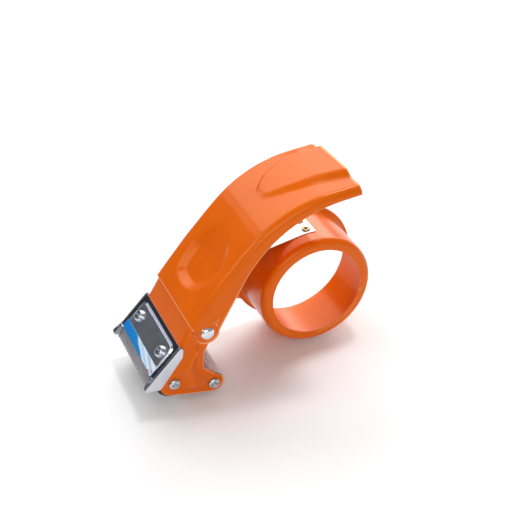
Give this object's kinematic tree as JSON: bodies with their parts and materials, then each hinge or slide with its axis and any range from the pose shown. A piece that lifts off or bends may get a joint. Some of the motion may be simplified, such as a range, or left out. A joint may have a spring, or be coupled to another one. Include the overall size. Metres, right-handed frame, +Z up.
{
  "type": "packing tape dispenser",
  "caption": "Hand-held carton tape dispenser in pressed orange steel: curved handle, open tape hub, rubber press roller, grooved guide roller and a toothed blade under a plated cover.",
  "frame": {"origin": "on the resting plane, under the middle of the overall box", "axes": "+X from the blade towards the tape hub, +Y towards the hub arm's side, +Z up from the resting plane"},
  "size_m": [0.1643, 0.0652, 0.1241],
  "materials": {
    "orange_enamel": "glossy orange stoving enamel on pressed steel",
    "polished_steel": "bright plated dome",
    "spring_steel": "bright rolled spring strip",
    "brass_plate": "brass-coloured tubular eyelets",
    "black_rubber": "matt black rubber",
    "grey_nylon": "moulded nylon",
    "white_plastic": "glossy white moulding with fine grooves",
    "zinc_plate": "bright zinc plating",
    "blade_steel": "rolled and ground steel",
    "cover_chrome": "bright pressed and plated steel",
    "printed_film": null
  },
  "bodies": {
    "frame": {"handle_shell": "orange_enamel", "head_frame": "orange_enamel", "tape_hub": "orange_enamel", "hub_arm": "orange_enamel", "front_ear_rivet": "polished_steel", "back_ear_rivet": "polished_steel", "brake_leaf_root": "spring_steel", "leaf_rivets": "brass_plate", "press_axle": "zinc_plate", "press_screw_front": "zinc_plate", "press_screw_back": "zinc_plate", "guide_axle": "zinc_plate", "guide_screw_front": "zinc_plate", "guide_screw_back": "zinc_plate", "cutting_blade": "blade_steel", "blade_cover": "cover_chrome", "cover_label": "printed_film", "cover_screws": "zinc_plate", "cover_nuts": "zinc_plate"},
    "press_roller": {"press_roller_sleeve": "black_rubber", "press_roller_core": "grey_nylon"},
    "guide_roller": {"guide_roller": "white_plastic"},
    "brake_leaf": {"brake_leaf": "spring_steel"}
  },
  "joints": [
    {"name": "press_roller_spin", "type": "hinge", "parent": "frame", "child": "press_roller", "pos_m": [-0.063, 0, 0.0172], "axis": [0, 1, 0], "continuous": true},
    {"name": "guide_roller_spin", "type": "hinge", "parent": "frame", "child": "guide_roller", "pos_m": [-0.0379, 0, 0.0089], "axis": [0, 1, 0], "continuous": true},
    {"name": "leaf_flex", "type": "hinge", "parent": "frame", "child": "brake_leaf", "pos_m": [0.03438, 0.008, 0.07909], "axis": [0, -1, 0], "range_deg": [0, 7], "stiffness_Nm_per_rad": 0.8}
  ]
}
